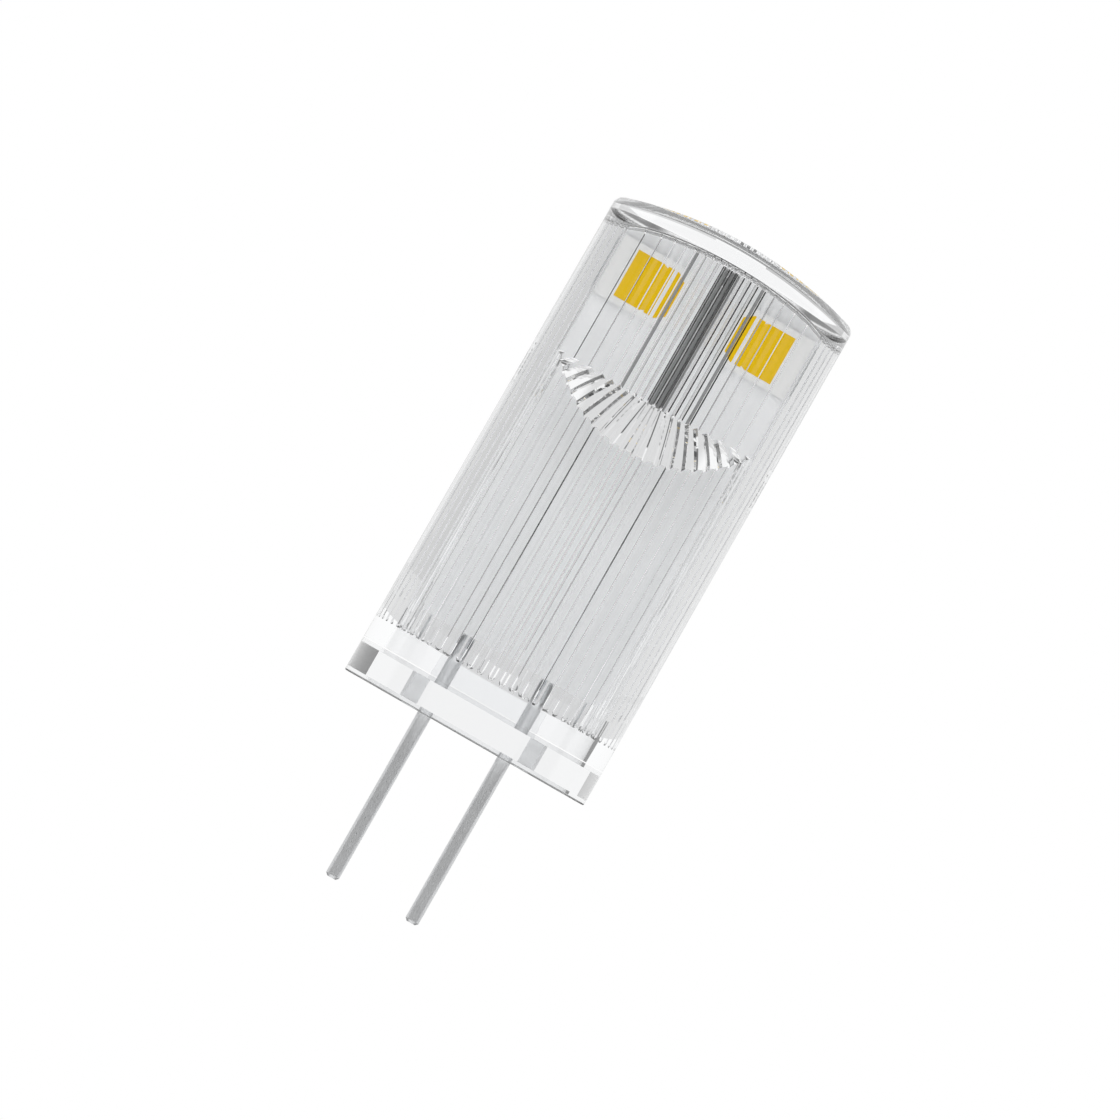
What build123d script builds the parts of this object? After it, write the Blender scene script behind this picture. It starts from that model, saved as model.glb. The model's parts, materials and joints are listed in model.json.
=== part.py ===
from build123d import *
import math
import os

# LED capsule lamp: a clear moulded capsule welded on a clear base cap with two contact pins.
# Sizes are in millimetres. The origin is the middle of the base cap's underside, midway between
# the pins. +Z runs up the lamp to its arched crown and the pins point down. -Y is the front.

# Base cap
base_radius = 6.02
base_height = 1.70
base_edge_round = 0.08
recess_radius = 5.05
floor_height = 1.45
underside_radius = 5.05
underside_depth = 0.24
holder_width = 5.24
plinth_depth = 3.20
plinth_height = 0.48
holder_depth = 2.20
holder_height = 0.72

# Contact pins
pin_spacing = 4.00
pin_diameter = 0.65
pin_reach = 8.20
pin_tip_chamfer = 0.12
pin_waist = 0.50
pin_bend_radius = 0.55
pin_bend_gap = 0.20
pin_tail = 2.30
solder_width = 1.84
solder_skin = 0.16
solder_film = 0.06
solder_margin = 0.25

# Capsule, measured up from its foot on the base cap
capsule_height = 23.16
crown_side_radius = 5.95
crown_arch_radius = 18.60
rim_round = 0.48
crown_thickness = 1.06
ceiling_arch_radius = 12.80
bore_radius = 5.03
smooth_band = 1.02
ramp_start = 12.70
ramp_height = 2.40

# Ribs moulded on the wall of the capsule's cavity
rib_count = 60
rib_tip_width = 0.12
rib_height = 0.08
rib_sides = 8

# Circuit board
board_thickness = 0.80
board_side_clearance = 0.52
board_top_clearance = 0.12
board_corner_radius = 0.60
board_foot_gap = 1.30

# LED packages, two on each face of the board
led_width = 2.70
led_height = 2.90
led_depth = 0.76
led_inner_edge = 0.92
led_top_margin = 0.24
led_front_clearance = 1.28
window_width = 1.80
window_height = 2.30
window_rim = 0.12
window_depth = 0.34
window_taper = 8.0
window_corner = 0.30
phosphor_sag = 0.03
step_width = 0.42
step_gap = 0.08
step_depth = 0.07
terminal_thickness = 0.14
terminal_length = 0.75
terminal_proud = 0.10
terminal_side_margin = 0.30

# Packages with bent leads on the rear face: the rectifier, the controller and the diode
lead_thickness = 0.15
lead_rise = 0.45
lead_knee = 0.20
package_stand_off = 0.05
package_taper = 7.0
rectifier_width = 3.60
rectifier_height = 4.00
rectifier_thickness = 1.40
rectifier_lead_width = 0.70
rectifier_lead_pitch = 2.50
rectifier_lead_reach = 0.90
controller_width = 1.60
controller_height = 2.90
controller_thickness = 1.10
controller_lead_width = 0.40
controller_lead_pitch = 0.95
controller_lead_reach = 0.60
diode_width = 1.30
diode_height = 1.60
diode_thickness = 1.05
diode_lead_width = 0.60
diode_lead_reach = 0.45

# Choke and two-ended chips on the rear face
choke_size = 3.00
choke_thickness = 1.50
choke_corner = 0.50
choke_flange = 0.40
choke_barrel_radius = 0.70
choke_winding_radius = 1.30
capacitor_length = 3.20
capacitor_width = 1.60
capacitor_thickness = 1.20
resistor_length = 1.60
resistor_width = 0.80
resistor_thickness = 0.45
end_cap_share = 0.20
end_cap_skin = 0.03
side_gap = 0.35

# Places that follow from the sizes above
pin_radius = pin_diameter / 2
plinth_top = floor_height + plinth_height
holder_top = plinth_top + holder_height
foot = base_height
apex = foot + capsule_height
rib_start = foot + smooth_band
ramp_bottom = foot + ramp_start
ramp_top = ramp_bottom + ramp_height
ceiling_apex = apex - crown_thickness
board_face = board_thickness / 2
board_half_width = math.sqrt(bore_radius**2 - board_face**2) - board_side_clearance
board_bottom = holder_top + board_foot_gap
slot_half = board_face + led_depth + led_front_clearance
pins = {"left": -pin_spacing / 2, "right": pin_spacing / 2}
hands = {"left": -1, "right": 1}
faces = {"front": -1, "rear": 1}


def arch_height(peak, radius, x):
    """Height of an arch over the lamp's width, at a distance to the side of the lamp's axis."""
    return peak - radius + math.sqrt(radius**2 - x**2)


def ceiling_height(x):
    """Height of the cavity's arched ceiling at a distance to the side of the lamp's axis."""
    return arch_height(ceiling_apex, ceiling_arch_radius, x)


def save(piece, name):
    """Labels a finished piece and writes it under the same name."""
    piece.part.label = name
    export_step(piece.part, f"parts/{name}.step")


board_shoulder = ceiling_height(board_half_width) - board_top_clearance
led_middle = board_shoulder - led_top_margin - led_height / 2
os.makedirs("parts", exist_ok=True)

# Base cap: a clear disc on a low rim, with a recess inside its wall above, and a stepped block on its
# floor. The pins are moulded in: they pass the floor through square holes and the block through round.
with BuildPart() as base_cap:
    with BuildSketch(Plane.XZ):
        with BuildLine():
            Polyline(
                (0, underside_depth),
                (underside_radius, underside_depth),
                (underside_radius, 0),
                (base_radius, 0),
                (base_radius, base_height),
                (recess_radius, base_height),
                (recess_radius, floor_height),
                (0, floor_height),
                close=True,
            )
        make_face()
    revolve(axis=Axis.Z)
    with BuildSketch(Plane.XY.offset(floor_height)):
        Rectangle(holder_width, plinth_depth)
    extrude(amount=plinth_height)
    with BuildSketch(Plane.XY.offset(plinth_top)):
        Rectangle(holder_width, holder_depth)
    extrude(amount=holder_height)
    foot_edges = base_cap.edges().filter_by(GeomType.CIRCLE).group_by(Axis.Z)[0]
    fillet(foot_edges.sort_by(SortBy.RADIUS)[-1], base_edge_round)
    with BuildSketch(Plane.XY.offset(underside_depth)):
        with Locations(*[(x, 0) for x in pins.values()]):
            Rectangle(pin_waist, pin_waist)
    extrude(amount=floor_height - underside_depth, mode=Mode.SUBTRACT)
    with BuildSketch(Plane.XY.offset(floor_height)):
        with Locations(*[(x, 0) for x in pins.values()]):
            Circle(pin_radius)
    extrude(amount=holder_top - floor_height, mode=Mode.SUBTRACT)
base_cap.part.label = "base_cap"
export_step(base_cap.part, "parts/base_cap.step")

# Contact pins: round wire with a square waist where the cap's floor grips it. Above the block each is
# cranked back to the board's rear face.
tail_y = board_face + solder_film + pin_radius
tail_top = board_bottom + pin_tail
for hand, pin_x in pins.items():
    with BuildPart() as contact_pin:
        with BuildSketch(Plane.XY.offset(-pin_reach)):
            with Locations((pin_x, 0)):
                Circle(pin_radius)
        extrude(amount=pin_reach + underside_depth)
        with BuildSketch(Plane.XY.offset(underside_depth)):
            with Locations((pin_x, 0)):
                Rectangle(pin_waist, pin_waist)
        extrude(amount=floor_height - underside_depth)
        with BuildLine(Plane.YZ.offset(pin_x)) as crank:
            FilletPolyline(
                (0, floor_height),
                (0, holder_top + pin_bend_gap),
                (tail_y, board_bottom - pin_bend_gap),
                (tail_y, tail_top),
                radius=pin_bend_radius,
            )
        with BuildSketch(Plane.XY.offset(floor_height)):
            with Locations((pin_x, 0)):
                Circle(pin_radius)
        sweep(path=crank.line)
        tip = contact_pin.faces().sort_by(Axis.Z)[0]
        chamfer(tip.edges(), pin_tip_chamfer)
    save(contact_pin, f"contact_pin_{hand}")

# Solder joints: a low mound of solder along each pin's tail on the board's rear face
solder_bottom = board_bottom + pin_bend_radius + solder_margin
solder_top = tail_top - solder_margin
for hand, pin_x in pins.items():
    with BuildPart() as pin_solder:
        with BuildSketch(Plane.XY.offset(solder_bottom)):
            left_toe = (pin_x - solder_width / 2, board_face)
            right_toe = (pin_x + solder_width / 2, board_face)
            crest = (pin_x, tail_y + pin_radius + solder_skin)
            with BuildLine():
                ThreePointArc(left_toe, crest, right_toe)
                Line(right_toe, left_toe)
            make_face()
            with Locations((pin_x, tail_y)):
                Circle(pin_radius, mode=Mode.SUBTRACT)
        extrude(amount=solder_top - solder_bottom)
    save(pin_solder, f"pin_solder_{hand}")

# Each rib stands in an upright plane through the lamp's axis. It is a rod of octagonal section, sunk in
# the wall up to its flat tip, that climbs the bore, leans in over the ramp and climbs the slot's face.
rib_radius = rib_tip_width / 2 / math.tan(math.pi / rib_sides)
rib_inset = rib_height - rib_radius
ramp_run = bore_radius - slot_half
ramp_length = math.hypot(ramp_run, ramp_height)
lean_y = bore_radius - rib_inset * ramp_height / ramp_length
lean_z = ramp_bottom - rib_inset * ramp_run / ramp_length


def lean_height(y):
    """Height of a rib's centre line over the ramp, at a distance from the board's mid plane."""
    return lean_z + (lean_y - y) * ramp_height / ramp_run


def rib_points(angle):
    """Centre line of one rib, as distances out from the axis and heights."""
    out = bore_radius - rib_inset
    share = abs(math.cos(angle))
    slot_y = slot_half - rib_inset
    start = (out, rib_start)
    if out * share < slot_y:
        return [start, (out, apex)]
    low = (out, lean_height(out * share))
    high = (slot_y / share, lean_height(slot_y))
    return [start, low, high, (slot_y / share, apex)]


rib_rods = []
for step in range(rib_count):
    angle = 2 * math.pi * (step + 0.5) / rib_count
    outward = (math.sin(angle), -math.cos(angle), 0)
    rib_plane = Plane(origin=(0, 0, 0), x_dir=outward, z_dir=(outward[1], -outward[0], 0))
    with BuildPart() as rib_rod:
        with BuildLine(rib_plane) as rib_line:
            Polyline(*rib_points(angle))
        with BuildSketch(Plane(origin=rib_line.line @ 0, x_dir=outward)):
            RegularPolygon(rib_radius, rib_sides, major_radius=False, rotation=180 / rib_sides)
        sweep(path=rib_line.line, transition=Transition.RIGHT)
    rib_rods.append(rib_rod.part)

# Cavity of the capsule: a round bore that narrows over two flat ramps to a flat-sided slot, less the ribs
with BuildPart() as cavity:
    with BuildSketch(Plane.YZ):
        with BuildLine():
            Polyline(
                (-bore_radius, foot),
                (bore_radius, foot),
                (bore_radius, ramp_bottom),
                (slot_half, ramp_top),
                (slot_half, apex),
                (-slot_half, apex),
                (-slot_half, ramp_top),
                (-bore_radius, ramp_bottom),
                close=True,
            )
        make_face()
    extrude(amount=bore_radius, both=True)
    with BuildSketch(Plane.XY.offset(foot)):
        Circle(bore_radius)
    extrude(amount=capsule_height, mode=Mode.INTERSECT)
    ceiling_reach = bore_radius + rib_height
    with BuildSketch(Plane.XZ):
        with BuildLine():
            left_spring = (-ceiling_reach, ceiling_height(ceiling_reach))
            right_spring = (ceiling_reach, ceiling_height(ceiling_reach))
            Polyline(left_spring, (-ceiling_reach, foot), (ceiling_reach, foot), right_spring)
            ThreePointArc(left_spring, (0, ceiling_apex), right_spring)
        make_face()
    extrude(amount=ceiling_reach, both=True, mode=Mode.INTERSECT)
    add(rib_rods, mode=Mode.SUBTRACT)

# Capsule: a clear drafted body around that cavity. Its crown is arched over the lamp's width, straight
# from front to back as the cavity's ceiling is, and its rim is rounded.
crown_reach = base_radius + rim_round
with BuildPart() as capsule_cover:
    with BuildSketch(Plane.XZ):
        Polygon((0, apex), (0, foot), (base_radius, foot), (crown_side_radius, apex), align=None)
    revolve(axis=Axis.Z)
    with BuildSketch(Plane.XZ):
        with BuildLine():
            left_spring = (-crown_reach, arch_height(apex, crown_arch_radius, crown_reach))
            right_spring = (crown_reach, arch_height(apex, crown_arch_radius, crown_reach))
            Polyline(left_spring, (-crown_reach, foot), (crown_reach, foot), right_spring)
            ThreePointArc(left_spring, (0, apex), right_spring)
        make_face()
    extrude(amount=crown_reach, both=True, mode=Mode.INTERSECT)
    fillet(capsule_cover.faces().sort_by(Axis.Z)[-1].edges(), rim_round)
    add(cavity.part, mode=Mode.SUBTRACT)
capsule_cover.part.label = "capsule_cover"
export_step(capsule_cover.part, "parts/capsule_cover.step")

# Circuit board: a white board in the middle of the cavity, with a top edge that follows its ceiling
with BuildPart() as circuit_board:
    with BuildSketch(Plane.XZ) as board_outline:
        with BuildLine():
            left_shoulder = (-board_half_width, board_shoulder)
            right_shoulder = (board_half_width, board_shoulder)
            Polyline(
                left_shoulder,
                (-board_half_width, board_bottom),
                (board_half_width, board_bottom),
                right_shoulder,
            )
            ThreePointArc(left_shoulder, (0, ceiling_apex - board_top_clearance), right_shoulder)
        make_face()
        fillet(board_outline.vertices(), board_corner_radius)
    extrude(amount=board_face, both=True)
circuit_board.part.label = "circuit_board"
export_step(circuit_board.part, "parts/circuit_board.step")


def board_plane(side, height=0.0):
    """A plane that faces out from one side of the board, at a height above it."""
    return Plane(origin=(0, side * (board_face + height), 0), x_dir=(-side, 0, 0), z_dir=(0, side, 0))


def on_board(side, x, z):
    """A place on such a plane, from its x and z in the lamp's frame."""
    return (-side * x, z)


# LED packages: a white housing with a tapered window near its inner edge and a shallow step beside
# it, yellow phosphor in the window, and two flat terminals between the housing and the board
window_inner = led_inner_edge + window_rim
window_outer = window_inner + window_width
led_outer_edge = led_inner_edge + led_width
step_middle = window_outer + step_gap + step_width / 2
terminal_middles = [
    led_inner_edge - terminal_proud + terminal_length / 2,
    led_outer_edge + terminal_proud - terminal_length / 2,
]


def window_outline(side, hand, grow=0.0):
    """Corners of an LED's window on its face: a rectangle with its two inner corners cut off."""
    half = window_height / 2 + grow
    inner = window_inner - grow
    outer = window_outer + grow
    outline = [
        (inner, window_corner - half),
        (inner, half - window_corner),
        (inner + window_corner, half),
        (outer, half),
        (outer, -half),
        (inner + window_corner, -half),
    ]
    return [on_board(side, hand * x, led_middle + z) for x, z in outline]


for face_name, side in faces.items():
    for hand_name, hand in hands.items():
        tag = f"{face_name}_{hand_name}"
        with BuildPart() as led_housing:
            with BuildSketch(board_plane(side, terminal_thickness)):
                with Locations(on_board(side, hand * (led_inner_edge + led_width / 2), led_middle)):
                    Rectangle(led_width, led_height)
            extrude(amount=led_depth - terminal_thickness)
            with BuildSketch(board_plane(side, led_depth)):
                Polygon(*window_outline(side, hand), align=None)
            extrude(amount=-window_depth, taper=window_taper, mode=Mode.SUBTRACT)
            with BuildSketch(board_plane(side, led_depth)):
                with Locations(on_board(side, hand * step_middle, led_middle)):
                    Rectangle(step_width, led_height)
            extrude(amount=-step_depth, mode=Mode.SUBTRACT)
        save(led_housing, f"led_housing_{tag}")

        with BuildPart() as led_phosphor:
            with BuildSketch(board_plane(side, led_depth)):
                Polygon(*window_outline(side, hand), align=None)
            extrude(amount=-window_depth, taper=window_taper)
            with BuildSketch(board_plane(side, led_depth)):
                Polygon(*window_outline(side, hand, grow=window_rim / 2), align=None)
            extrude(amount=-phosphor_sag, mode=Mode.SUBTRACT)
        save(led_phosphor, f"led_phosphor_{tag}")

        with BuildPart() as led_terminals:
            with BuildSketch(board_plane(side)):
                with Locations(*[on_board(side, hand * x, led_middle) for x in terminal_middles]):
                    Rectangle(terminal_length, led_height - 2 * terminal_side_margin)
            extrude(amount=terminal_thickness)
        save(led_terminals, f"led_terminals_{tag}")

# Driver parts stand on the rear face in three rows, spread evenly between the pins' tails and the LEDs
rear = faces["rear"]
driver_room = led_middle - led_height / 2 - tail_top
row_gap = (driver_room - rectifier_height - choke_size - controller_height) / 4
rectifier_z = tail_top + row_gap + rectifier_height / 2
choke_z = rectifier_z + rectifier_height / 2 + row_gap + choke_size / 2
controller_z = choke_z + choke_size / 2 + row_gap + controller_height / 2


def moulded_package(name, x, z, width, height, thickness):
    """A black moulded package: a straight band at its leads, with sides that lean in above and below."""
    band_top = lead_rise + lead_thickness
    with BuildPart() as package:
        for level, amount, taper in (
            (lead_rise, lead_thickness, 0),
            (band_top, thickness - band_top, package_taper),
            (lead_rise, package_stand_off - lead_rise, package_taper),
        ):
            with BuildSketch(board_plane(rear, level)):
                with Locations(on_board(rear, x, z)):
                    Rectangle(width, height)
            extrude(amount=amount, taper=taper)
    save(package, name)


def bent_leads(name, x, z, width, lead_width, reach, offsets):
    """Leads on both sides of a package: out of its band, down at the knee, and out along the board."""
    top = lead_rise + lead_thickness
    outline = [
        (0, lead_rise),
        (0, top),
        (lead_knee + lead_thickness, top),
        (lead_knee + lead_thickness, lead_thickness),
        (reach, lead_thickness),
        (reach, 0),
        (lead_knee, 0),
        (lead_knee, lead_rise),
    ]
    with BuildPart() as leads:
        for offset in offsets:
            with BuildSketch(Plane.XY.offset(z + offset - lead_width / 2)):
                for hand in hands.values():
                    corners = [(x + hand * (width / 2 + out), board_face + up) for out, up in outline]
                    Polygon(*corners, align=None)
            extrude(amount=lead_width)
    save(leads, name)


def two_ended_chip(name, x, z, length, width, thickness):
    """An upright chip: a plain body, and a metal cap over each end that stands a skin proud of it."""
    cap_length = end_cap_share * length
    with BuildPart() as body:
        with BuildSketch(board_plane(rear, end_cap_skin)):
            with Locations(on_board(rear, x, z)):
                Rectangle(width, length - 2 * cap_length)
        extrude(amount=thickness)
    save(body, f"{name}_body")
    with BuildPart() as ends:
        with BuildSketch(board_plane(rear)):
            with Locations(*[on_board(rear, x, z + end * (length - cap_length) / 2) for end in (-1, 1)]):
                Rectangle(width + 2 * end_cap_skin, cap_length)
        extrude(amount=thickness + 2 * end_cap_skin)
    save(ends, f"{name}_ends")


# Row one: the bridge rectifier
moulded_package("rectifier_body", 0, rectifier_z, rectifier_width, rectifier_height, rectifier_thickness)
bent_leads(
    "rectifier_leads",
    0,
    rectifier_z,
    rectifier_width,
    rectifier_lead_width,
    rectifier_lead_reach,
    (-rectifier_lead_pitch / 2, rectifier_lead_pitch / 2),
)

# Row two: the choke, a ferrite drum with copper wire round its barrel, between two capacitors
with BuildPart() as choke_core:
    for level in (0, choke_thickness - choke_flange):
        with BuildSketch(board_plane(rear, level)):
            with Locations(on_board(rear, 0, choke_z)):
                RectangleRounded(choke_size, choke_size, choke_corner)
        extrude(amount=choke_flange)
    with BuildSketch(board_plane(rear)):
        with Locations(on_board(rear, 0, choke_z)):
            Circle(choke_barrel_radius)
    extrude(amount=choke_thickness)
choke_core.part.label = "choke_core"
export_step(choke_core.part, "parts/choke_core.step")

with BuildPart() as choke_winding:
    with BuildSketch(board_plane(rear, choke_flange)):
        with Locations(on_board(rear, 0, choke_z)):
            Circle(choke_winding_radius)
            Circle(choke_barrel_radius, mode=Mode.SUBTRACT)
    extrude(amount=choke_thickness - 2 * choke_flange)
choke_winding.part.label = "choke_winding"
export_step(choke_winding.part, "parts/choke_winding.step")

capacitor_x = choke_size / 2 + side_gap + capacitor_width / 2
for name, hand in {"input_capacitor": -1, "output_capacitor": 1}.items():
    place_x = hand * capacitor_x
    two_ended_chip(name, place_x, choke_z, capacitor_length, capacitor_width, capacitor_thickness)

# Row three: the controller between two resistors and the diode
moulded_package("controller_body", 0, controller_z, controller_width, controller_height, controller_thickness)
bent_leads(
    "controller_leads",
    0,
    controller_z,
    controller_width,
    controller_lead_width,
    controller_lead_reach,
    (-controller_lead_pitch, 0, controller_lead_pitch),
)
controller_side = controller_width / 2 + controller_lead_reach + side_gap
resistor_pitch = resistor_width + side_gap
for index, name in enumerate(("sense_resistor", "start_resistor")):
    place_x = -controller_side - resistor_width / 2 - index * resistor_pitch
    two_ended_chip(name, place_x, controller_z, resistor_length, resistor_width, resistor_thickness)
diode_x = controller_side + diode_lead_reach + diode_width / 2
moulded_package("diode_body", diode_x, controller_z, diode_width, diode_height, diode_thickness)
bent_leads("diode_leads", diode_x, controller_z, diode_width, diode_lead_width, diode_lead_reach, (0,))
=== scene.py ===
# %% [markdown]
# # A small LED capsule lamp
#
# This lesson dresses a finished lamp model. The lamp is a clear moulded capsule on a clear base cap,
# with a white circuit board and yellow LEDs inside, and two bare contact pins below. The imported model
# already holds every piece at its real size and place. Here we give each piece its finish, and remake
# the clear mouldings with the clean facets that refraction needs.
#
# Everything is in metres, and `MM` keeps the small sizes readable.

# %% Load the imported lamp
import json
import math
import bmesh
import bpy
from mathutils import Matrix, Vector


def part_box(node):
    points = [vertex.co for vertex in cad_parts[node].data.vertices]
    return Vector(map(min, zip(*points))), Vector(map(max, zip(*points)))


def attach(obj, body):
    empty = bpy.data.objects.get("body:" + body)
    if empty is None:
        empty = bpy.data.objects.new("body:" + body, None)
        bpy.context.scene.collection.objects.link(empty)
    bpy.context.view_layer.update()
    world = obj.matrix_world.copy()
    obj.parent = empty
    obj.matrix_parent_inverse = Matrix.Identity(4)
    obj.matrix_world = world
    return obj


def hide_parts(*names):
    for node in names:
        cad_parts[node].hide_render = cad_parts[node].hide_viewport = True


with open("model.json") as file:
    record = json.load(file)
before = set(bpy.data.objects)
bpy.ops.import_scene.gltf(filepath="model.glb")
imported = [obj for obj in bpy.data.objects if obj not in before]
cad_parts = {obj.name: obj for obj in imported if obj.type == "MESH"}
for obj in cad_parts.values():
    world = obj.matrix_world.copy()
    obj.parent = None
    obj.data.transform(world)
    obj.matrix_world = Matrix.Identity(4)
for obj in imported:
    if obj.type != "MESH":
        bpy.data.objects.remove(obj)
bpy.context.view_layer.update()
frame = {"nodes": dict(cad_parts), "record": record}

MM = 0.001
nodes = frame["nodes"]

# %% [markdown]
# ## Where the camera stands
#
# The picture is a product shot from very far away: the lamp's round edges look straight, so the camera
# is level with it and shows no perspective. An orthographic camera says that exactly. The lamp itself
# stands upright in its own frame, and the picture leans because the camera is rolled.

# %% Camera
picture_width = 48.97 * MM
camera_roll = math.radians(29.76)
camera_azimuth = math.radians(-0.1)
look_at = Vector((-0.21, 0.0, 8.82)) * MM
camera_distance = 0.4

camera = bpy.data.objects.new("camera", bpy.data.cameras.new("camera"))
camera.data.type = "ORTHO"
camera.data.ortho_scale = picture_width
camera.data.clip_start = 0.01
camera.data.clip_end = 4.0
back = Vector((math.sin(camera_azimuth), -math.cos(camera_azimuth), 0))
level = (-back).to_track_quat("-Z", "Y").to_matrix().to_4x4()
camera.matrix_world = (
    Matrix.Translation(look_at + camera_distance * back) @ level @ Matrix.Rotation(camera_roll, 4, "Z")
)
bpy.context.scene.collection.objects.link(camera)
bpy.context.scene.camera = camera
bpy.context.scene.view_settings.view_transform = "Standard"
print("camera looks along", [round(v, 3) for v in -back])

# %% [markdown]
# ## Nodes without the typing
#
# Materials and the studio's sky are node trees. Two small helpers keep them short: one adds a node and
# sets its properties and inputs, and the other does a sum.

# %% Node helpers
def add_node(tree, kind, inputs=None, **properties):
    """Adds a node of a kind, sets its properties, then its inputs: a socket is linked, a value is set."""
    node = tree.nodes.new(kind)
    for key, value in properties.items():
        setattr(node, key, value)
    for key, value in (inputs or {}).items():
        if isinstance(value, bpy.types.NodeSocket):
            tree.links.new(value, node.inputs[key])
        else:
            node.inputs[key].default_value = value
    return node


def math_node(tree, operation, *values):
    """A maths node's result, from sockets or numbers."""
    inputs = dict(enumerate(values))
    return add_node(tree, "ShaderNodeMath", inputs, operation=operation).outputs[0]


# %% [markdown]
# ## The studio
#
# Clear plastic has no colour of its own: it shows the studio, bent. So the surroundings matter more
# than the shader. For everything that scatters light the sky is an even white. Rays that the plastic
# bends see the tones of a real studio instead. The wall level with the lamp behind it is white. Above
# it hangs a dark drape, then a darker gap in front and behind, and a pale ceiling right over the lamp.
# The ramp inside the capsule mirrors that ceiling, and the ribs on it pick up the dark round it. Rays
# that the outside only mirrors see a dark room on the camera's side, so no grey veil lies on the lamp.

# %% Sky
world = bpy.data.worlds.new("studio")
bpy.context.scene.world = world
world.use_nodes = True
sky = world.node_tree
sky.nodes.clear()

ray = add_node(sky, "ShaderNodeLightPath")
direction = add_node(sky, "ShaderNodeTexCoord").outputs["Generated"]
split = add_node(sky, "ShaderNodeSeparateXYZ", {"Vector": direction})
bearing = math_node(sky, "ARCTAN2", split.outputs["X"], split.outputs["Y"])
climb = split.outputs["Z"]


def between(value, low, high, soft):
    """A mask that is 1 while a value lies between two limits, with soft edges."""
    rise = add_node(sky, "ShaderNodeMapRange", {"Value": value, 1: low - soft, 2: low + soft},
                    interpolation_type="SMOOTHSTEP")
    fall = add_node(sky, "ShaderNodeMapRange", {"Value": value, 1: high + soft, 2: high - soft},
                    interpolation_type="SMOOTHSTEP")
    return math_node(sky, "MULTIPLY", rise.outputs[0], fall.outputs[0])


def painted(tone, shade, bearings, climbs, soft):
    """The sky's tone, with another shade painted over a range of bearings (degrees) and climbs."""
    low, high = (math.radians(angle) for angle in bearings)
    across = between(bearing, low, high, math.radians(4.0))
    mask = math_node(sky, "MULTIPLY", across, between(climb, *climbs, soft))
    return add_node(sky, "ShaderNodeMix", {0: mask, 2: tone, 3: shade}, data_type="FLOAT").outputs[0]


white, drape, gap_tone, ceiling_tone, room_dark, room_light = 1.0, 0.20, 0.08, 0.74, 0.10, 0.90
drape_climbs, gap_climbs, ceiling_climbs, wall_climbs = (0.12, 0.75), (0.75, 0.93), (0.95, 1.1), (-0.055, 0.06)
all_round = (-190, 190)

studio_tone = painted(white, drape, (-120, 120), drape_climbs, 0.03)
for gap_bearings in ((-42, 42), (115, 190), (-190, -115)):
    studio_tone = painted(studio_tone, gap_tone, gap_bearings, gap_climbs, 0.02)
studio_tone = painted(studio_tone, ceiling_tone, all_round, ceiling_climbs, 0.01)
studio_tone = painted(studio_tone, white, (-62, 62), wall_climbs, 0.015)
room_tone = painted(room_dark, room_light, (-95, 95), (-1.1, 1.1), 0.02)
bent = ray.outputs["Is Transmission Ray"]
mirrored = math_node(sky, "SUBTRACT", ray.outputs["Is Glossy Ray"], bent)
strength = add_node(sky, "ShaderNodeMix", {0: bent, 2: white, 3: studio_tone}, data_type="FLOAT").outputs[0]
strength = add_node(sky, "ShaderNodeMix", {0: mirrored, 2: strength, 3: room_tone}, data_type="FLOAT").outputs[0]
background = add_node(sky, "ShaderNodeBackground", {"Color": (1, 1, 1, 1), "Strength": strength})
add_node(sky, "ShaderNodeOutputWorld", {"Surface": background.outputs[0]})
print("sky nodes:", len(sky.nodes))

# %% [markdown]
# A plain pale floor lies below the pins. It keeps the lamp's soft shadow. Bent rays see its far half as
# a dark cloth, which the crown's rim needs for its grey edge, and its near half as a bright reflector,
# which fills the board with light.

# %% Floor
floor_height = -20.0 * MM
floor_half = 500.0 * MM
cloth_start, cloth_full = -2.0 * MM, 8.0 * MM
floor_mesh = bpy.data.meshes.new("floor")
corners = [(-1, -1), (1, -1), (1, 1), (-1, 1)]
floor_mesh.from_pydata([(x * floor_half, y * floor_half, floor_height) for x, y in corners], [], [(0, 1, 2, 3)])
floor = bpy.data.objects.new("floor", floor_mesh)
bpy.context.scene.collection.objects.link(floor)

floor_paint = bpy.data.materials.new("floor_paint")
floor_paint.use_nodes = True
floor_tree = floor_paint.node_tree
floor_shader = floor_tree.nodes["Principled BSDF"]
floor_shader.inputs["Roughness"].default_value = 0.6
floor_ray = add_node(floor_tree, "ShaderNodeLightPath")
floor_bent = math_node(floor_tree, "MAXIMUM", floor_ray.outputs["Is Glossy Ray"],
                       floor_ray.outputs["Is Transmission Ray"])
floor_place = add_node(floor_tree, "ShaderNodeTexCoord").outputs["Object"]
floor_axes = add_node(floor_tree, "ShaderNodeSeparateXYZ", {"Vector": floor_place})
far_half = add_node(floor_tree, "ShaderNodeMapRange",
                    {"Value": floor_axes.outputs["Y"], 1: cloth_start, 2: cloth_full})
cloth = add_node(floor_tree, "ShaderNodeMix",
                 {0: far_half.outputs[0], 6: (1.0, 1.0, 1.0, 1), 7: (0.30, 0.30, 0.30, 1)}, data_type="RGBA")
floor_colour = add_node(floor_tree, "ShaderNodeMix",
                        {0: floor_bent, 6: (0.92, 0.92, 0.92, 1), 7: cloth.outputs[2]}, data_type="RGBA")
floor_tree.links.new(floor_colour.outputs[2], floor_shader.inputs["Base Color"])
floor_mesh.materials.append(floor_paint)
print("floor at", round(floor_height / MM, 1), "mm")

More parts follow.
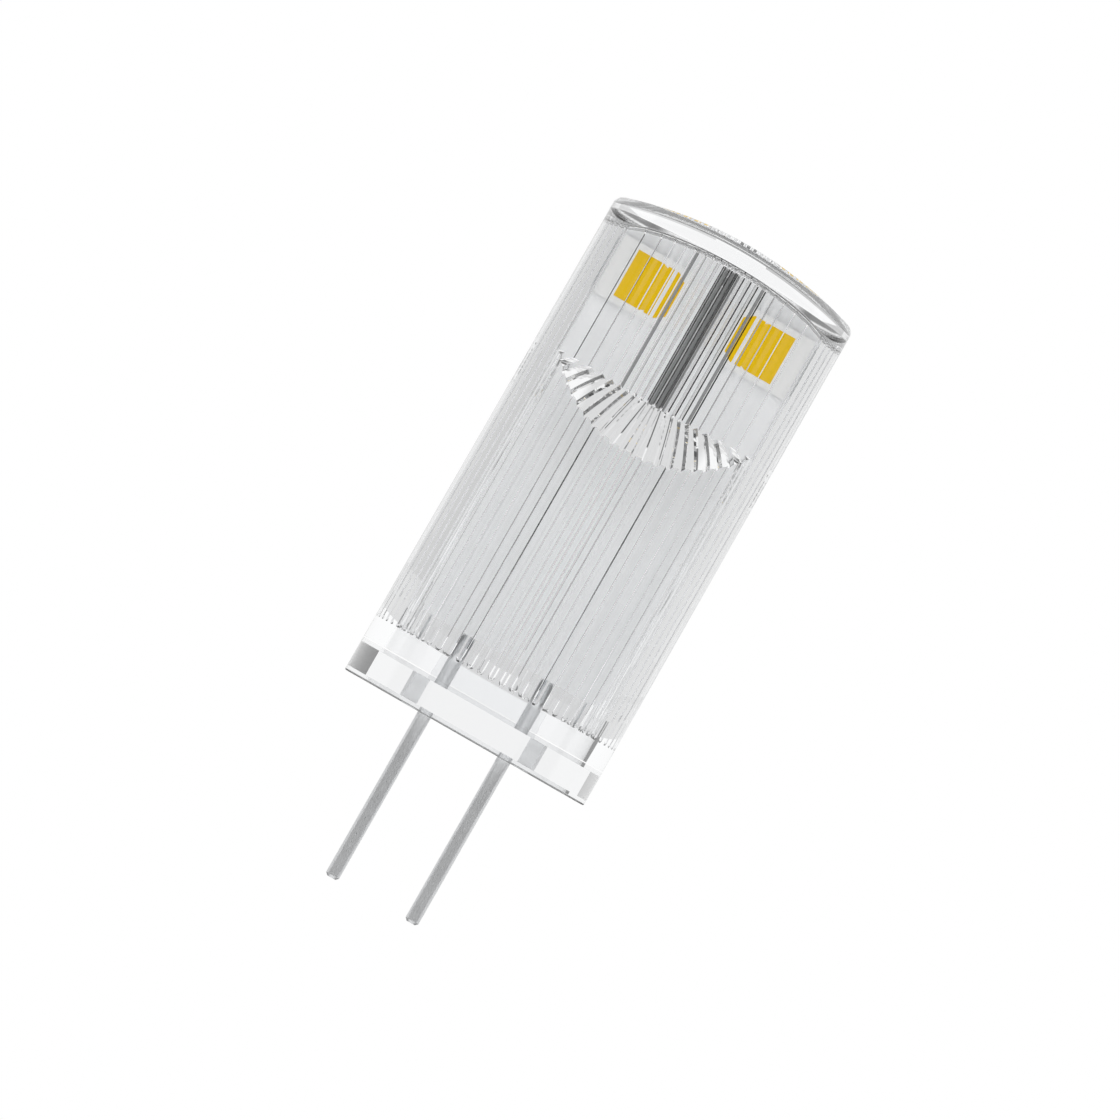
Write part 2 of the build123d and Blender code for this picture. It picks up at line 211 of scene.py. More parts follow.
# %% [markdown]
# ## Cards round the lamp
#
# A photographer gives glass its dark lines by standing narrow cards round it, just out of the picture.
# The ribs of this capsule turn a level ray by more than a right angle, so each rib shows a card that
# stands beside or in front of the lamp. Because a level ray stays level through upright walls, a card's
# height decides which part of the lamp shows it. The cards are real strips far from the lamp that only
# bent rays can see. Bearings run from behind the lamp towards its right.
#
# A black card makes a rib's line black, and one of about 0.7 makes it as light as the board behind it.
# The upper cards serve the slot, the lower ones the bore. The tube's cards give its two edges their
# grey, and the last ones serve the rib ends and the base cap.

# %% Cards
card_distance = 250.0 * MM
card_step = 3
upper = (15.1, 23.75)
lower = (2.66, 15.1)
tube = (4.0, 22.6)
rib_ends = (1.9, 4.0)
cap_band = (-0.4, 2.66)
cards = [
    (upper, (76, 108.5), 0.70), (upper, (108.5, 113.9), 0.02), (upper, (113.9, 119), 0.34),
    (upper, (119, 126), 0.52), (upper, (126, 140), 0.70), (upper, (140, 180), 0.03),
    (upper, (-180, -134), 0.03), (upper, (-134, -109), 0.70), (upper, (-109, -76), 0.62),
    (lower, (76, 94), 0.75), (lower, (94, 97), 0.02), (lower, (97, 118.8), 0.66), (lower, (118.8, 124), 0.02),
    (lower, (124, 134), 0.72), (lower, (134, 142), 0.02), (lower, (142, 180), 0.64),
    (lower, (-180, -143), 0.64), (lower, (-143, -136), 0.02), (lower, (-136, -130), 0.30),
    (lower, (-130, -124), 0.30), (lower, (-124, -118), 0.66), (lower, (-118, -110), 0.36),
    (lower, (-104, -100), 0.60), (lower, (-97, -92), 0.02),
    (tube, (-62, -8), 0.60), (tube, (8, 62), 0.74), (rib_ends, (-62, 62), 0.70),
    (cap_band, (46, 92), 0.20), (cap_band, (-92, -57), 0.52),
]


def make_card(number, heights, bearings, tone):
    """One upright strip on a circle round the lamp, which only rays through the plastic see."""
    low, high = (z * MM for z in heights)
    steps = max(2, round((bearings[1] - bearings[0]) / card_step))
    mesh = bpy.data.meshes.new(f"card_{number}")
    points, faces = [], []
    for k in range(steps + 1):
        angle = math.radians(bearings[0] + (bearings[1] - bearings[0]) * k / steps)
        x, y = card_distance * math.sin(angle), card_distance * math.cos(angle)
        points += [(x, y, low), (x, y, high)]
        if k:
            faces.append((2 * k - 2, 2 * k, 2 * k + 1, 2 * k - 1))
    mesh.from_pydata(points, [], faces)
    paint = bpy.data.materials.new(f"card_tone_{number}")
    paint.use_nodes = True
    tree = paint.node_tree
    tree.nodes.clear()
    glow = add_node(tree, "ShaderNodeEmission", {"Color": (1, 1, 1, 1), "Strength": tone})
    add_node(tree, "ShaderNodeOutputMaterial", {"Surface": glow.outputs[0]})
    mesh.materials.append(paint)
    card = bpy.data.objects.new(f"card_{number}", mesh)
    bpy.context.scene.collection.objects.link(card)
    card.visible_camera = False
    card.visible_diffuse = False
    card.visible_glossy = False
    card.visible_shadow = False


for number, (heights, bearings, tone) in enumerate(cards):
    make_card(number, heights, bearings, tone)
print("cards:", len(cards))

# %% [markdown]
# Light crosses many clear surfaces before it comes back to the camera, so Cycles gets generous bounces.
# It also must not blur sharp refractions, which it does by default to save time.

# %% Light paths
cycles = bpy.context.scene.cycles
cycles.max_bounces = 32
cycles.transmission_bounces = 28
cycles.glossy_bounces = 16
cycles.diffuse_bounces = 6
cycles.transparent_max_bounces = 32
cycles.blur_glossy = 0.0
cycles.use_denoising = True
print("bounces:", cycles.max_bounces)

# %% [markdown]
# ## Clear plastic
#
# The capsule and the base cap are clear polycarbonate, which needs little more than an index of
# refraction and no roughness. Light loses a little at every surface it crosses. The cavity's ribbed
# wall loses more of it than the polished outside, so it gets a plastic of its own.

# %% Clear plastics
def clear_plastic(name, colour):
    """A clear plastic: all of its colour is what a crossing keeps of the light."""
    plastic = bpy.data.materials.new(name)
    plastic.use_nodes = True
    shader = plastic.node_tree.nodes["Principled BSDF"]
    shader.inputs["Base Color"].default_value = (*colour, 1)
    shader.inputs["Roughness"].default_value = 0.0
    shader.inputs["IOR"].default_value = 1.5
    shader.inputs["Transmission Weight"].default_value = 1.0
    return plastic


outside_plastic = clear_plastic("clear_plastic_outside", (0.985, 0.99, 0.995))
cavity_plastic = clear_plastic("clear_plastic_cavity", (0.965, 0.968, 0.972))
base_plastic = clear_plastic("clear_plastic_base", (0.92, 0.925, 0.93))

# %% [markdown]
# ## The capsule
#
# One clear moulding holds the whole lamp. Outside it is a slightly drafted tube with a low arched crown.
# Inside it is a round bore that narrows over two ramps to a flat-sided slot, with sixty fine ribs that
# climb the wall from bottom to top. A lathe tool can't make that, and a boolean of sixty thin bars
# leaves ragged faces that refraction shows at once. So the wall is laid out in upright columns: seven to
# each rib, each one a list of points from the foot to the ceiling, and faces between neighbours.
#
# A long smooth face beside a tight rounding would tilt its shading over its whole length, and bend the
# light with it. So a very low row of faces, `hold` high, stands beside each rounding and each corner.

# %% Capsule sizes
foot_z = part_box("capsule_cover")[0].z
apex_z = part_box("capsule_cover")[1].z
body_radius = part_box("capsule_cover")[1].x
crown_side_radius = 5.95 * MM
crown_arch = 18.60 * MM
rim_round = 0.48 * MM
ceiling_peak = apex_z - 1.06 * MM
ceiling_arch = 12.80 * MM
ceiling_round = 0.25 * MM
bore_radius = 5.03 * MM
slot_half = 2.44 * MM
ramp_bottom = foot_z + 12.70 * MM
ramp_top = ramp_bottom + 2.40 * MM
rib_start = foot_z + 1.02 * MM
rib_count = 60
rib_height = 0.08 * MM
rib_tip_half = 0.06 * MM
rib_foot_half = rib_tip_half + rib_height
ramp_proudness = 1.8
floor_steps = 4
ceiling_round_steps = 5
hold = 0.01 * MM
print("capsule stands", round((apex_z - foot_z) / MM, 2), "mm high")


# %% Arches and ramps
def arch(peak, radius, x):
    """Height of an arch over the lamp's width."""
    return peak - radius + math.sqrt(radius**2 - x**2)


ramp_run = bore_radius - slot_half
ramp_rise = ramp_top - ramp_bottom
ramp_length = math.hypot(ramp_run, ramp_rise)


def ramp_level(y, proud):
    """Height of the ramp, or of a line that stands proud of it, at a distance from the mid plane."""
    line_y = bore_radius - proud * ramp_rise / ramp_length
    line_z = ramp_bottom - proud * ramp_run / ramp_length
    return line_z + (line_y - y) * ramp_rise / ramp_run


# %% Columns of the cavity's wall
def wall_column(bore_x, bore_y, slot_x, slot_y, proud, start):
    """Points up one column: the smooth foot, the rib's rounded end, the bore, the ramp and the slot."""
    foot_scale = bore_radius / math.hypot(bore_x, bore_y)
    foot_x, foot_y = bore_x * foot_scale, bore_y * foot_scale
    points = [(foot_x, foot_y, foot_z), (foot_x, foot_y, start), (bore_x, bore_y, start + rib_height)]
    points.append((bore_x, bore_y, start + rib_height + hold))
    front = 1 if bore_y > 0 else -1
    if abs(slot_y) >= abs(bore_y) - 1e-9:
        slot_x, slot_y = bore_x, bore_y
        low, high = ramp_bottom, ramp_top
        into = Vector((-bore_x, -bore_y, 0)).normalized()
    else:
        low = ramp_level(abs(bore_y), ramp_proudness * proud)
        high = ramp_level(abs(slot_y), ramp_proudness * proud)
        into = Vector((0, -front, 0))
    points += [(bore_x, bore_y, low - hold), (bore_x, bore_y, low), (slot_x, slot_y, high)]
    points.append((slot_x, slot_y, high + hold))
    centre = Vector((slot_x, slot_y, 0)) + ceiling_round * into
    centre.z = arch(ceiling_peak, ceiling_arch, 0) - ceiling_arch + math.sqrt(
        (ceiling_arch - ceiling_round) ** 2 - centre.x**2
    )
    up = Vector((centre.x, 0, centre.z - ceiling_peak + ceiling_arch)).normalized()
    points.append((slot_x, slot_y, centre.z - hold))
    for k in range(ceiling_round_steps + 1):
        points.append(tuple(centre + ceiling_round * (-into).slerp(up, k / ceiling_round_steps)))
    return points


def cavity_columns():
    """All columns round the wall: four to each rib, and the ones on the floor up to the next rib."""
    columns = []
    pitch = 2 * math.pi / rib_count
    for rib in range(rib_count):
        angle = (rib + 0.5) * pitch
        sine, cosine = math.sin(angle), math.cos(angle)
        share = abs(cosine)
        front = 1 if cosine > 0 else -1
        slot_pitch = slot_half * pitch / max(share, 0.3) ** 2
        edges = []
        for aside in (-rib_foot_half, -rib_tip_half, rib_tip_half, rib_foot_half):
            on_tip = abs(aside) < rib_foot_half
            proud = rib_height if on_tip else 0.0
            out = bore_radius - proud if on_tip else math.sqrt(bore_radius**2 - aside**2)
            bore = (out * sine + aside * cosine, aside * sine - out * cosine)
            reach = max(-0.47 * slot_pitch, min(0.47 * slot_pitch, aside / max(share, 0.05)))
            slot_x = (slot_half - proud) * sine / max(share, 0.05) + reach * front
            slot = (slot_x, -front * (slot_half - proud))
            start = rib_start + rib_foot_half - math.sqrt(rib_foot_half**2 - aside**2)
            edges.append((bore, slot, proud, start))
        columns.append(edges)
    placed = []
    for rib, edges in enumerate(columns):
        placed += [wall_column(*bore, *slot, proud, start) for bore, slot, proud, start in edges]
        here, there = edges[-1], columns[(rib + 1) % rib_count][0]
        for k in range(1, floor_steps):
            share = k / floor_steps
            turn = [math.atan2(end[0][0], -end[0][1]) for end in (here, there)]
            if turn[1] < turn[0]:
                turn[1] += 2 * math.pi
            angle = turn[0] + (turn[1] - turn[0]) * share
            bore = (bore_radius * math.sin(angle), -bore_radius * math.cos(angle))
            slot = tuple(a + (b - a) * share for a, b in zip(here[1], there[1]))
            if here[1][1] * there[1][1] < 0:
                slot = (bore[0], 2 * bore_radius)
            placed.append(wall_column(*bore, *slot, 0.0, here[3]))
    return placed


cavity = cavity_columns()
print("columns:", len(cavity), "with", len(cavity[0]), "points each")


# %% [markdown]
# The outside is laid out in the same number of columns. Its rim is the path of a small ball that rolls
# between the wall and the arched crown, so the rounding stays true all the way round.

# %% Columns of the outside
wall_steps, rim_steps, crown_steps, ceiling_steps = 8, 10, 12, 9


def outside_column(angle):
    """Points up one column of the outside: the drafted wall, the rolled rim and the arched crown."""
    side = Vector((math.sin(angle), -math.cos(angle), 0))
    draft = (body_radius - crown_side_radius) / (apex_z - foot_z)
    centre_z = apex_z - rim_round
    for _ in range(8):
        out = body_radius - draft * (centre_z - foot_z) - rim_round
        centre_x = out * side.x
        centre_z = apex_z - crown_arch + math.sqrt((crown_arch - rim_round) ** 2 - centre_x**2)
    centre = Vector((out * side.x, out * side.y, centre_z))
    up = Vector((centre.x, 0, centre.z - apex_z + crown_arch)).normalized()
    points = []
    for k in range(wall_steps + 1):
        level = foot_z + (centre_z - hold - foot_z) * k / wall_steps
        radius = body_radius - draft * (level - foot_z)
        points.append((radius * side.x, radius * side.y, level))
    points += [tuple(centre + rim_round * side.slerp(up, k / rim_steps)) for k in range(rim_steps + 1)]
    edge = points[-1]
    for k in range(1, crown_steps):
        share = 1 - k / crown_steps
        points.append((edge[0] * share, edge[1] * share, arch(apex_z, crown_arch, edge[0] * share)))
    return points


outside = [outside_column(2 * math.pi * (k + 0.5) / len(cavity)) for k in range(len(cavity))]
print("rim starts at", round(outside[0][wall_steps + 1][2] / MM, 2), "mm")


# %% Faces between columns
def skin(mesh, columns, flip, material=0):
    """Joins neighbouring columns with faces, and gives back the rows of corners."""
    rows = [[mesh.verts.new(column[level]) for column in columns] for level in range(len(columns[0]))]
    for low, high in zip(rows, rows[1:]):
        join_rows(mesh, low, high, flip, material)
    return rows


def join_rows(mesh, low, high, flip, material=0):
    """A band of faces between two rows of corners."""
    for k in range(len(low)):
        after = (k + 1) % len(low)
        loop = [low[k], low[after], high[after], high[k]]
        face = mesh.faces.new(reversed(loop) if flip else loop)
        face.material_index = material


def close_row(mesh, row, tip, flip, material=0):
    """A fan of faces from a row of corners to one tip."""
    top = mesh.verts.new(tip)
    for k in range(len(row)):
        loop = [row[k], row[(k + 1) % len(row)], top]
        face = mesh.faces.new(reversed(loop) if flip else loop)
        face.material_index = material


def finish_piece(mesh, name, materials, sharp_angle=22.0):
    """Makes an object of a mesh, with smooth faces and sharp edges where they meet at an angle."""
    mesh.normal_update()
    for face in mesh.faces:
        face.smooth = True
    for edge in mesh.edges:
        if len(edge.link_faces) == 2:
            edge.smooth = edge.calc_face_angle() < math.radians(sharp_angle)
    data = bpy.data.meshes.new(name)
    mesh.to_mesh(data)
    print(name, "faces", len(mesh.faces), "open edges", sum(not e.is_manifold for e in mesh.edges),
          "volume mm3", round(mesh.calc_volume(signed=True) / MM**3, 1))
    mesh.free()
    piece = bpy.data.objects.new(name, data)
    bpy.context.scene.collection.objects.link(piece)
    for material in materials:
        data.materials.append(material)
    return piece


# %% Capsule
capsule_mesh = bmesh.new()
outside_rows = skin(capsule_mesh, outside, flip=False)
close_row(capsule_mesh, outside_rows[-1], (0, 0, apex_z), flip=False)
for k in range(1, ceiling_steps):
    share = 1 - k / ceiling_steps
    for column, edge in zip(cavity, [column[-1] for column in cavity]):
        x, y = edge[0] * share, edge[1] * share
        column.append((x, y, arch(ceiling_peak, ceiling_arch, x)))
cavity_rows = skin(capsule_mesh, cavity, flip=True, material=1)
close_row(capsule_mesh, cavity_rows[-1], (0, 0, ceiling_peak), flip=True, material=1)
join_rows(capsule_mesh, outside_rows[0], cavity_rows[0], flip=True)
capsule = finish_piece(capsule_mesh, "capsule_moulding", [outside_plastic, cavity_plastic])
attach(capsule, "root")
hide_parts("capsule_cover")

# %% [markdown]
# ## The base cap
#
# The cap is a clear disc on a low rim, with a recess above and a stepped block that holds the pins. It
# is turned on a lathe here, and boolean tools add the block and drill the pins' holes. Refraction goes
# black where two surfaces lie on each other. So the cap keeps a hair's clearance below the capsule, and
# the holes are a hair smaller than the pins, because plastic that is moulded round a pin grips it. The
# upper block is a hair narrower than the lower one, since a boolean leaves gaps where faces share a plane.

# %% Base cap
seam_gap = 0.05 * MM
pin_grip = 0.01 * MM
recess_radius = 5.05 * MM
cap_floor = 1.45 * MM
underside_depth = 0.24 * MM
plinth = (5.24 * MM, 3.20 * MM, cap_floor + 0.48 * MM)
holder = (5.22 * MM, 2.20 * MM, cap_floor + 1.20 * MM)
foot_round = 0.08 * MM
pin_x = 2.00 * MM
pin_half = 0.325 * MM
waist_half = 0.25 * MM
waist_start = 0.1 * MM
hole_top = 3.2 * MM
plinth_root, holder_root = 0.8 * MM, 0.9 * MM
turn_steps = 240
pin_sides = 48


def turned(profile):
    """A lathed body: the profile runs from the axis and back to it."""
    mesh = bmesh.new()
    columns = []
    for k in range(turn_steps):
        angle = 2 * math.pi * (k + 0.5) / turn_steps
        columns.append([(r * math.sin(angle), -r * math.cos(angle), z) for r, z in profile[1:-1]])
    rows = skin(mesh, columns, flip=False)
    close_row(mesh, rows[0], (0, 0, profile[0][1]), flip=True)
    close_row(mesh, rows[-1], (0, 0, profile[-1][1]), flip=False)
    return mesh


def add_bar(mesh, x, half_x, half_y, low, high, sides=4):
    """An upright bar, square or round, as a loose body in a mesh."""
    turn = Matrix.Rotation(math.pi / sides, 4, "Z") if sides == 4 else Matrix()
    spread = math.sqrt(2) if sides == 4 else 1.0
    size = Matrix.Diagonal((half_x * spread, half_y * spread, high - low, 1))
    place = Matrix.Translation((x, 0, (low + high) / 2)) @ size @ turn
    bmesh.ops.create_cone(mesh, cap_ends=True, segments=sides, radius1=1, radius2=1, depth=1, matrix=place)


def cut_with(piece, tool_mesh, operation):
    """Applies a boolean with a mesh, and removes the tool."""
    data = bpy.data.meshes.new("tool")
    tool_mesh.to_mesh(data)
    tool_mesh.free()
    tool = bpy.data.objects.new("tool", data)
    bpy.context.scene.collection.objects.link(tool)
    step = piece.modifiers.new("cut", "BOOLEAN")
    step.operation = operation
    step.solver = "EXACT"
    step.object = tool
    bpy.context.view_layer.update()
    result = bpy.data.meshes.new_from_object(piece.evaluated_get(bpy.context.evaluated_depsgraph_get()))
    piece.modifiers.clear()
    piece.data = result
    bpy.data.objects.remove(tool)


foot_points = [
    (body_radius - foot_round * (1 - math.sin(turn)), foot_round * (1 - math.cos(turn)))
    for turn in [math.pi / 2 * k / 5 for k in range(6)]
]
rim_top = foot_z - seam_gap
profile = [(0, underside_depth), (recess_radius, underside_depth), (recess_radius, 0), *foot_points,
           (body_radius, foot_round + hold), (body_radius, rim_top), (recess_radius, rim_top),
           (recess_radius, cap_floor), (0, cap_floor)]
base_cap = finish_piece(turned(profile), "base_cap_disc", [base_plastic])
blocks = bmesh.new()
add_bar(blocks, 0, plinth[0] / 2, plinth[1] / 2, plinth_root, plinth[2])
cut_with(base_cap, blocks, "UNION")
blocks = bmesh.new()
add_bar(blocks, 0, holder[0] / 2, holder[1] / 2, holder_root, holder[2])
cut_with(base_cap, blocks, "UNION")
holes = bmesh.new()
for x in (-pin_x, pin_x):
    add_bar(holes, x, waist_half - pin_grip, waist_half - pin_grip, waist_start, cap_floor + pin_grip)
cut_with(base_cap, holes, "DIFFERENCE")
holes = bmesh.new()
for x in (-pin_x, pin_x):
    add_bar(holes, x, pin_half - pin_grip, pin_half - pin_grip, cap_floor, hole_top, sides=pin_sides)
cut_with(base_cap, holes, "DIFFERENCE")
base_mesh = bmesh.new()
base_mesh.from_mesh(base_cap.data)
bpy.data.objects.remove(base_cap)
base_cap = finish_piece(base_mesh, "base_cap_moulding", [base_plastic])
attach(base_cap, "root")
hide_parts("base_cap")

# %% [markdown]
# ## Effects that several finishes share
#
# Nothing on a real board is one flat colour: solder mask clouds a little, epoxy is blasted matt, and
# tin shows the lines of the die or of the bath. Three small node groups make those effects, each with
# its size and amount as inputs, so each finish below only sets its own values.

# %% Effect groups
def effect_group(name, inputs, outputs):
    """An empty node group with float inputs (and their defaults) and float outputs."""
    group = bpy.data.node_groups.new(name, "ShaderNodeTree")
    for label, value in inputs.items():
        socket = group.interface.new_socket(label, in_out="INPUT", socket_type="NodeSocketFloat")
        socket.default_value = value
    for label in outputs:
        group.interface.new_socket(label, in_out="OUTPUT", socket_type="NodeSocketFloat")
    return group, group.nodes.new("NodeGroupInput"), group.nodes.new("NodeGroupOutput")


# Clouding: a shade near 1 that drifts over the surface
clouding, group_in, group_out = effect_group("clouding", {"Size mm": 1.0, "Amount": 0.05}, ["Shade"])
place = add_node(clouding, "ShaderNodeTexCoord").outputs["Object"]
scale = math_node(clouding, "DIVIDE", 1000.0, group_in.outputs["Size mm"])
cloud = add_node(clouding, "ShaderNodeTexNoise", {"Vector": place, "Scale": scale, "Detail": 3.0})
drift = math_node(clouding, "SUBTRACT", cloud.outputs[0], 0.5)
drift = math_node(clouding, "MULTIPLY", math_node(clouding, "MULTIPLY", drift, 2.0), group_in.outputs["Amount"])
clouding.links.new(math_node(clouding, "ADD", 1.0, drift), group_out.inputs["Shade"])

# Grain: fine pits of a blasted or fired surface, as a height and a mask of the deepest pits, which a finish can
# darken as painted shade
grain, group_in, group_out = effect_group("grain", {"Size mm": 0.05}, ["Height", "Pits"])
place = add_node(grain, "ShaderNodeTexCoord").outputs["Object"]
scale = math_node(grain, "DIVIDE", 1000.0, group_in.outputs["Size mm"])
speck = add_node(grain, "ShaderNodeTexNoise", {"Vector": place, "Scale": scale, "Detail": 2.0})
pits = add_node(grain, "ShaderNodeMapRange", {"Value": speck.outputs[0], 1: 0.38, 2: 0.30})
grain.links.new(speck.outputs[0], group_out.inputs["Height"])
grain.links.new(pits.outputs[0], group_out.inputs["Pits"])

# Drawing lines: long faint scratches along the lamp's height, as a die leaves them on wire
drawn, group_in, group_out = effect_group("drawing_lines", {"Width mm": 0.03, "Length mm": 3.0}, ["Height"])
place = add_node(drawn, "ShaderNodeTexCoord").outputs["Object"]
across = math_node(drawn, "DIVIDE", 1000.0, group_in.outputs["Width mm"])
along = math_node(drawn, "DIVIDE", 1000.0, group_in.outputs["Length mm"])
stretch = add_node(drawn, "ShaderNodeCombineXYZ", {0: across, 1: across, 2: along})
lines = add_node(drawn, "ShaderNodeVectorMath", {0: place, 1: stretch.outputs[0]}, operation="MULTIPLY")
score = add_node(drawn, "ShaderNodeTexNoise", {"Vector": lines.outputs[0], "Scale": 1.0, "Detail": 2.0})
drawn.links.new(score.outputs[0], group_out.inputs["Height"])
print("groups:", [group.name for group in bpy.data.node_groups])


# %% A finish from colour, clouding and relief
def place_group(tree, group, **values):
    """Puts a node group in a tree and sets its inputs, with underscores for spaces."""
    node = tree.nodes.new("ShaderNodeGroup")
    node.node_tree = group
    for label, value in values.items():
        node.inputs[label.replace("_", " ")].default_value = value
    return node


def finish(name, colour, roughness, metallic, cloud, relief, depth_mm, painted_pit_shade=0.0):
    """A finish: its colour and roughness drift with the clouding, a group gives it relief, and painted shade can
    darken its colour in the relief's deepest pits.
    """
    material = bpy.data.materials.new(name)
    material.use_nodes = True
    tree = material.node_tree
    shader = tree.nodes["Principled BSDF"]
    shader.inputs["Metallic"].default_value = metallic
    cloud_size, cloud_amount = cloud
    shade = place_group(tree, clouding, Size_mm=cloud_size, Amount=cloud_amount).outputs["Shade"]
    kind, size = relief
    surface = place_group(tree, kind, **{"Size_mm" if kind == grain else "Width_mm": size})
    colour_now = add_node(tree, "ShaderNodeVectorMath", {0: colour, "Scale": shade}, operation="SCALE").outputs[0]
    # Painted shade: the colour is darkened in the deepest pits of the relief, where shade falls.
    if painted_pit_shade:
        keep = math_node(tree, "SUBTRACT", 1.0, math_node(tree, "MULTIPLY", surface.outputs["Pits"], painted_pit_shade))
        colour_now = add_node(tree, "ShaderNodeVectorMath", {0: colour_now, "Scale": keep},
                              operation="SCALE").outputs[0]
    tree.links.new(colour_now, shader.inputs["Base Color"])
    tree.links.new(math_node(tree, "MULTIPLY", shade, roughness), shader.inputs["Roughness"])
    bump = add_node(tree, "ShaderNodeBump",
                    {"Height": surface.outputs["Height"], "Distance": depth_mm * MM, "Strength": 1.0})
    tree.links.new(bump.outputs[0], shader.inputs["Normal"])
    return material


# %% [markdown]
# ## Finishes of the inner parts
#
# The slot names in the imported record say what each part is made of, so each slot gets one finish. Wire
# and terminals are tin, bright but not polished. Packages are blasted epoxy, the choke's core is
# sintered ferrite with small pits, and the chips on the board are fired ceramic. On the ferrite and the
# ceramic, painted shade darkens the deepest pits.

# %% Finishes by slot
finishes = {
    "tinned_copper": finish("tinned_copper_wire", (0.84, 0.85, 0.86), 0.30, 1.0, (0.9, 0.05), (drawn, 0.03), 0.0015),
    "led_white": finish("reflector_white", (0.92, 0.92, 0.91), 0.42, 0.0, (0.6, 0.02), (grain, 0.04), 0.001),
    "terminal_tin": finish("terminal_tin", (0.70, 0.71, 0.71), 0.32, 1.0, (0.3, 0.06), (grain, 0.05), 0.002),
    "solder": finish("bright_solder", (0.66, 0.67, 0.69), 0.22, 1.0, (0.5, 0.08), (grain, 0.35), 0.008),
    "package_black": finish("package_epoxy", (0.025, 0.025, 0.028), 0.62, 0.0, (0.8, 0.10), (grain, 0.04), 0.004),
    "ferrite": finish("sintered_ferrite", (0.075, 0.075, 0.085), 0.55, 0.0, (0.5, 0.15), (grain, 0.09), 0.006, 0.6),
    "ceramic_tan": finish("capacitor_ceramic", (0.46, 0.31, 0.17), 0.48, 0.0, (0.4, 0.06), (grain, 0.06), 0.002, 0.3),
    "resistor_black": finish("resistor_glaze", (0.03, 0.03, 0.035), 0.25, 0.0, (0.4, 0.08), (grain, 0.15), 0.002),
    "clear_plastic": outside_plastic,
}
print("finishes:", sorted(finishes))

# %% [markdown]
# ## Phosphor
#
# The yellow in each window is silicone full of phosphor grains. It is strongly coloured, with a fine
# speckle, and its surface sags a little and shines like gel, which a coat gives without touching the
# grainy colour below.

# %% Phosphor
phosphor = finish("phosphor_silicone", (0.94, 0.60, 0.0), 0.55, 0.0, (0.12, 0.05), (grain, 0.06), 0.003)
phosphor_shader = phosphor.node_tree.nodes["Principled BSDF"]
phosphor_shader.inputs["Specular IOR Level"].default_value = 0.06
phosphor_shader.inputs["Coat Weight"].default_value = 0.05
phosphor_shader.inputs["Coat Roughness"].default_value = 0.25
finishes["phosphor_yellow"] = phosphor

# %% [markdown]
# ## The board
#
# The board is glass fibre under white solder mask. The weave lies just under the mask and lifts it in
# rows a quarter of a millimetre apart. Along the middle of the front face between the two LEDs, from just
# above the ramp to the top, a dark grey strip is painted into the mask's colour. It is a painted dark
# reflection that the slot's front wall shows there, not something on the board.

# %% Board
board_paint = bpy.data.materials.new("board_solder_mask_and_painted_strip")
board_paint.use_nodes = True
board_tree = board_paint.node_tree
board_shader = board_tree.nodes["Principled BSDF"]
board_place = add_node(board_tree, "ShaderNodeTexCoord").outputs["Object"]
board_axes = add_node(board_tree, "ShaderNodeSeparateXYZ", {"Vector": board_place})


def board_mask(axis, low, high, soft):
    """1 between two places along an axis of the board (mm), with soft edges."""
    sides = [
        add_node(board_tree, "ShaderNodeMapRange",
                 {"Value": board_axes.outputs[axis], 1: (place - way * soft) * MM, 2: (place + way * soft) * MM})
        for place, way in ((low, 1), (high, -1))
    ]
    return math_node(board_tree, "MULTIPLY", sides[0].outputs[0], sides[1].outputs[0])


weave_pitch = 0.25 * MM
# Painted reflection: the mask for a dark strip between the LEDs, where the slot's front wall shows a dark reflection.
painted_dark_strip = math_node(board_tree, "MULTIPLY", board_mask("X", -0.14, 0.32, 0.02), board_mask("Z", 16.2, 23.5, 0.05))
painted_dark_strip = math_node(board_tree, "MULTIPLY", painted_dark_strip, board_mask("Y", -1.0, -0.2, 0.05))
mask_shade = place_group(board_tree, clouding, Size_mm=1.6, Amount=0.03).outputs["Shade"]
mask_white = add_node(board_tree, "ShaderNodeVectorMath", {0: (0.92, 0.925, 0.93), "Scale": mask_shade},
                      operation="SCALE").outputs[0]
# The strip's dark grey is painted reflection mixed into the mask's white.
board_colour = add_node(board_tree, "ShaderNodeMix", {0: painted_dark_strip, 6: mask_white, 7: (0.22, 0.22, 0.22, 1)},
                        data_type="RGBA")
board_tree.links.new(board_colour.outputs[2], board_shader.inputs["Base Color"])
board_tree.links.new(math_node(board_tree, "MULTIPLY", mask_shade, 0.45), board_shader.inputs["Roughness"])
waves = [
    math_node(board_tree, "SINE",
              math_node(board_tree, "MULTIPLY", board_axes.outputs[axis], 2 * math.pi / weave_pitch))
    for axis in ("X", "Z")
]
weave = math_node(board_tree, "MULTIPLY", *waves)
weave_bump = add_node(board_tree, "ShaderNodeBump", {"Height": weave, "Distance": 0.0006 * MM, "Strength": 1.0})
board_tree.links.new(weave_bump.outputs[0], board_shader.inputs["Normal"])
finishes["board_white"] = board_paint
print("board nodes:", len(board_tree.nodes))

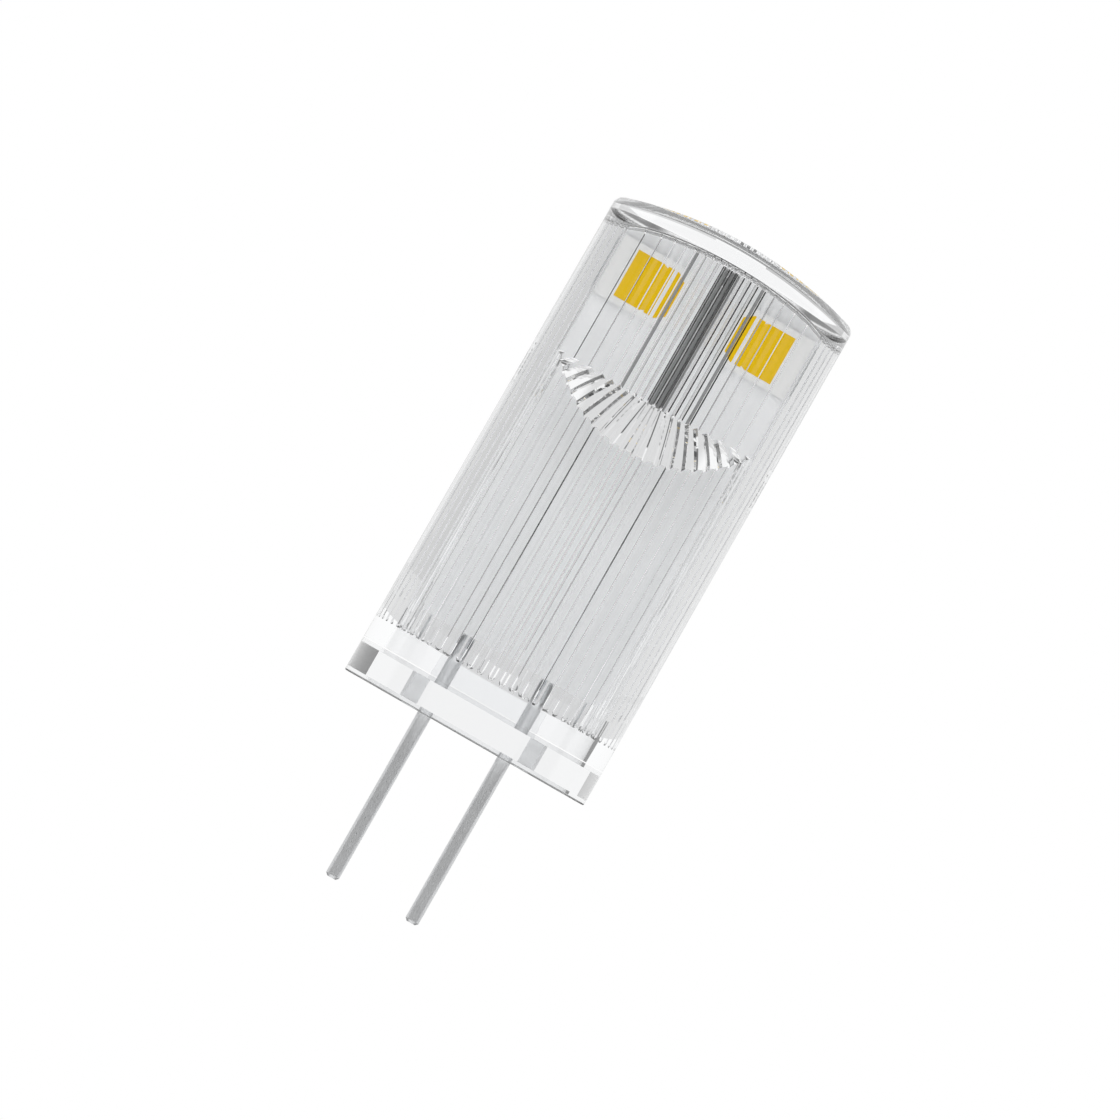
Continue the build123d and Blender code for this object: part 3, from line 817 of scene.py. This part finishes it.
# %% [markdown]
# ## The choke's winding
#
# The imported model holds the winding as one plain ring. The real one is enamelled wire, laid turn beside
# turn and layer on layer between the core's two plates. Each layer here is a helix, made as a curve with
# a round bevel and then turned into a mesh, inside the room that the plain ring takes.

# %% Winding
winding_low, winding_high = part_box("choke_winding")
wire_half = 0.07 * MM
winding_middle = Vector(((winding_low.x + winding_high.x) / 2, 0, (winding_low.z + winding_high.z) / 2))
outer_turn = (winding_high.x - winding_low.x) / 2 - wire_half
layer_count = 4
steps_per_turn = 40
turns = int((winding_high.y - winding_low.y - 2 * wire_half) / (2 * wire_half))
winding_curve = bpy.data.curves.new("winding_path", "CURVE")
winding_curve.dimensions = "3D"
winding_curve.bevel_depth = wire_half
winding_curve.bevel_resolution = 2
winding_curve.use_fill_caps = True
for layer in range(layer_count):
    turn_radius = outer_turn - 2 * wire_half * layer
    first_y = winding_low.y + wire_half
    rise = winding_high.y - winding_low.y - 2 * wire_half
    count = turns * steps_per_turn
    spline = winding_curve.splines.new("POLY")
    spline.points.add(count)
    for k in range(count + 1):
        angle = 2 * math.pi * turns * k / count
        spline.points[k].co = (
            winding_middle.x + turn_radius * math.cos(angle),
            first_y + rise * k / count,
            winding_middle.z + turn_radius * math.sin(angle),
            1,
        )
winding_guide = bpy.data.objects.new("winding_guide", winding_curve)
winding_mesh = bpy.data.meshes.new_from_object(winding_guide)
bpy.data.objects.remove(winding_guide)
for face in winding_mesh.polygons:
    face.use_smooth = True
winding = bpy.data.objects.new("choke_wire", winding_mesh)
bpy.context.scene.collection.objects.link(winding)
winding_mesh.materials.clear()
enamel = finish("enamelled_wire", (0.62, 0.25, 0.09), 0.26, 1.0, (0.5, 0.08), (grain, 0.12), 0.002)
winding_mesh.materials.append(enamel)
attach(winding, "root")
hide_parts("choke_winding")
print("turns:", turns, "in", layer_count, "layers, faces", len(winding_mesh.polygons))

# %% [markdown]
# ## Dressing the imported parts
#
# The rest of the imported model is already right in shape. Each of its parts gets the finish that its
# slot names, so one change to a finish reaches every part that is made of it.

# %% Dress the carried-over parts
for row in frame["record"]["subparts"]:
    paint = finishes.get(row["material_slot"])
    if paint:
        for slot in nodes[row["node"]].material_slots:
            slot.material = paint
